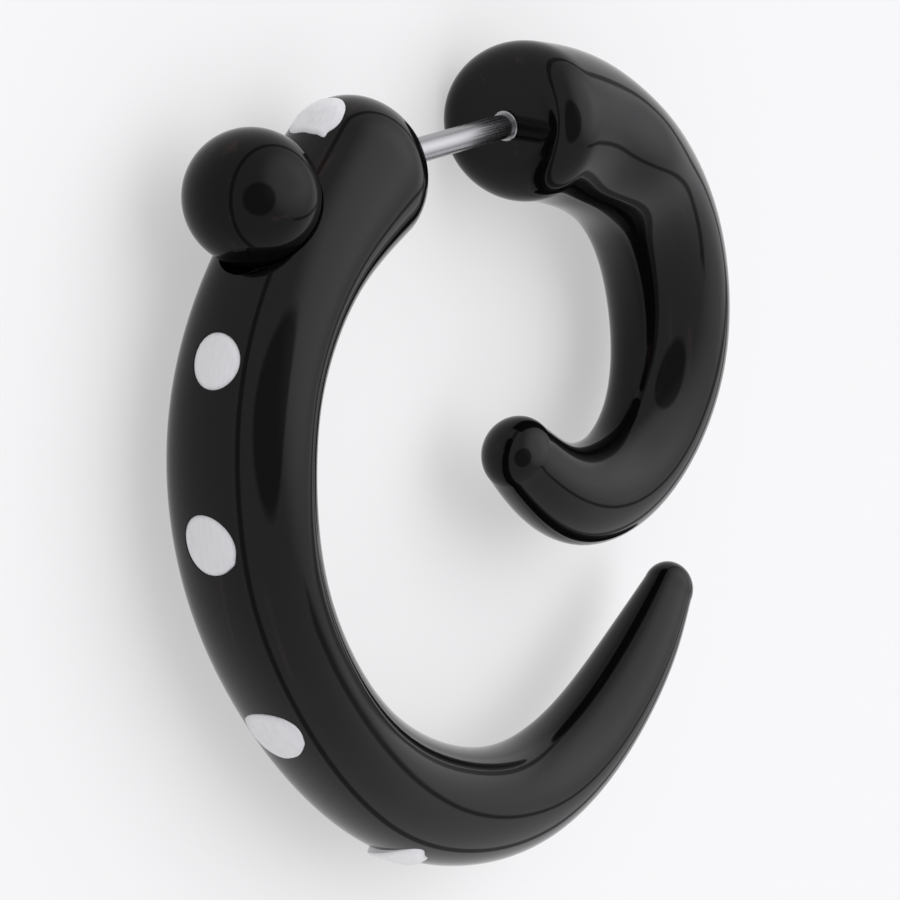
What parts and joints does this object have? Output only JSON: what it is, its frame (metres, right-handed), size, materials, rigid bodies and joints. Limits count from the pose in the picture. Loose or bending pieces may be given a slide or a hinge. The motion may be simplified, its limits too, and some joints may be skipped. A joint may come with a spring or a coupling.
{
  "type": "fake gauge talon earring",
  "caption": "Horn earring for a pierced lobe: a C-shaped talon in front and a hook behind, joined by a thin steel post with a ball screwed on its front end.",
  "frame": {"origin": "on the post's axis, halfway along the gap that the ear lobe fills", "axes": "+X along the post from the ball to the hook, +Y up when the earring is worn, +Z up when it lies on its side, square to the plane of the C"},
  "size_m": [0.0421, 0.0423, 0.0086],
  "materials": {
    "black_horn": "polished black horn",
    "steel": "polished surgical steel",
    "bone": "polished white bone"
  },
  "bodies": {
    "post_and_hook": {"back_hook": "black_horn", "post": "steel"},
    "talon": {"front_talon": "black_horn", "inlay_1": "bone", "inlay_2": "bone", "inlay_3": "bone", "inlay_4": "bone", "inlay_5": "bone"},
    "ball": {"end_ball": "black_horn"}
  },
  "joints": [
    {"name": "talon_turn", "type": "hinge", "parent": "post_and_hook", "child": "talon", "pos_m": [-0.0077, 0, 0], "axis": [1, 0, 0], "continuous": true},
    {"name": "ball_unscrew", "type": "slide", "parent": "post_and_hook", "child": "ball", "axis": [-1, 0, 0], "range_m": [0, 0.003]}
  ]
}
